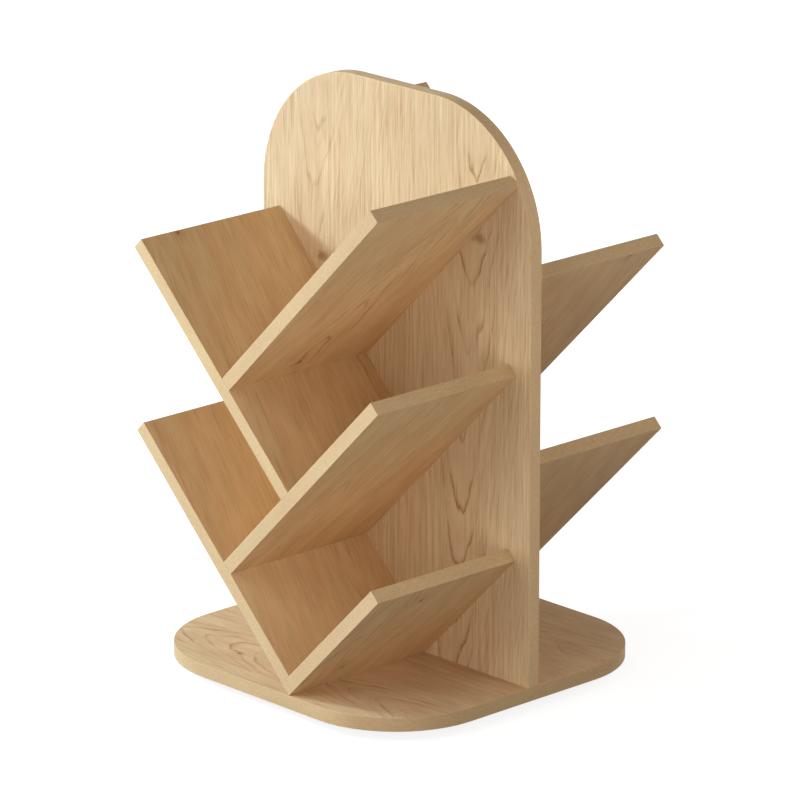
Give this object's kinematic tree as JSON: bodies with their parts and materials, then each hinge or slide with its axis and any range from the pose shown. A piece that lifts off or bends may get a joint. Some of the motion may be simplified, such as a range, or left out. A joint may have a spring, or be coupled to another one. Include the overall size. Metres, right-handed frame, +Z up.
{
  "type": "revolving desktop bookcase",
  "caption": "Desktop bookcase that turns on a ring bearing: a round-shouldered centre panel on a round-cornered base, with slanted herringbone shelves on both faces.",
  "frame": {"origin": "where the turning axis meets the surface that the bookcase stands on, in the middle of the foot pads' underside", "axes": "+Z up along the turning axis; +X along the centre panel, towards the tips of the front right-leaning boards; -Y is the front, where the front boards' ends face"},
  "size_m": [0.4, 0.4, 0.628],
  "materials": {
    "oak_board": "light oak grain laminate on 15 mm board, satin",
    "edge_banding": "1 mm oak-coloured edge banding",
    "plywood": "plain birch plywood",
    "zinc_plated_steel": "zinc plated",
    "ring_aluminium": "turned and brushed",
    "cage_nylon": "natural nylon",
    "ball_steel": "polished bearing steel",
    "pad_rubber": "matt, self-adhesive"
  },
  "bodies": {
    "turntable_base": {"turntable_lower_ring": "ring_aluminium", "foot_pads": "pad_rubber"},
    "bearing_cage": {"ball_cage": "cage_nylon", "bearing_balls": "ball_steel"},
    "bookcase": {"back_foot_board": "oak_board", "back_foot_board_bands": "edge_banding", "back_foot_board_rear_spline": "plywood", "back_lower_left_board": "oak_board", "back_lower_left_board_bands": "edge_banding", "back_lower_left_board_end_spline": "plywood", "back_lower_left_board_rear_spline": "plywood", "back_middle_right_board": "oak_board", "back_middle_right_board_bands": "edge_banding", "back_middle_right_board_end_spline": "plywood", "back_middle_right_board_rear_spline": "plywood", "back_upper_left_board": "oak_board", "back_upper_left_board_bands": "edge_banding", "back_upper_left_board_end_spline": "plywood", "back_upper_left_board_rear_spline": "plywood", "back_upper_right_board": "oak_board", "back_upper_right_board_bands": "edge_banding", "back_upper_right_board_end_spline": "plywood", "back_upper_right_board_rear_spline": "plywood", "base_edge_band": "edge_banding", "base_plate": "oak_board", "centre_panel": "oak_board", "front_foot_board": "oak_board", "front_foot_board_bands": "edge_banding", "front_foot_board_rear_spline": "plywood", "front_lower_left_board": "oak_board", "front_lower_left_board_bands": "edge_banding", "front_lower_left_board_end_spline": "plywood", "front_lower_left_board_rear_spline": "plywood", "front_middle_right_board": "oak_board", "front_middle_right_board_bands": "edge_banding", "front_middle_right_board_end_spline": "plywood", "front_middle_right_board_rear_spline": "plywood", "front_upper_left_board": "oak_board", "front_upper_left_board_bands": "edge_banding", "front_upper_left_board_end_spline": "plywood", "front_upper_left_board_rear_spline": "plywood", "front_upper_right_board": "oak_board", "front_upper_right_board_bands": "edge_banding", "front_upper_right_board_end_spline": "plywood", "front_upper_right_board_rear_spline": "plywood", "panel_edge_band": "edge_banding", "panel_foot_spline": "plywood", "panel_screws": "zinc_plated_steel", "ring_screws": "zinc_plated_steel", "turntable_upper_ring": "ring_aluminium"}
  },
  "joints": [
    {"name": "turn", "type": "hinge", "parent": "turntable_base", "child": "bookcase", "pos_m": [0, 0, 0], "axis": [0, 0, 1], "continuous": true},
    {"name": "cage_turn", "type": "hinge", "parent": "turntable_base", "child": "bearing_cage", "pos_m": [0, 0, 0], "axis": [0, 0, 1], "continuous": true}
  ],
  "couplings": [
    {"joint": "cage_turn", "follows": "turn", "ratio": 0.49205}
  ]
}
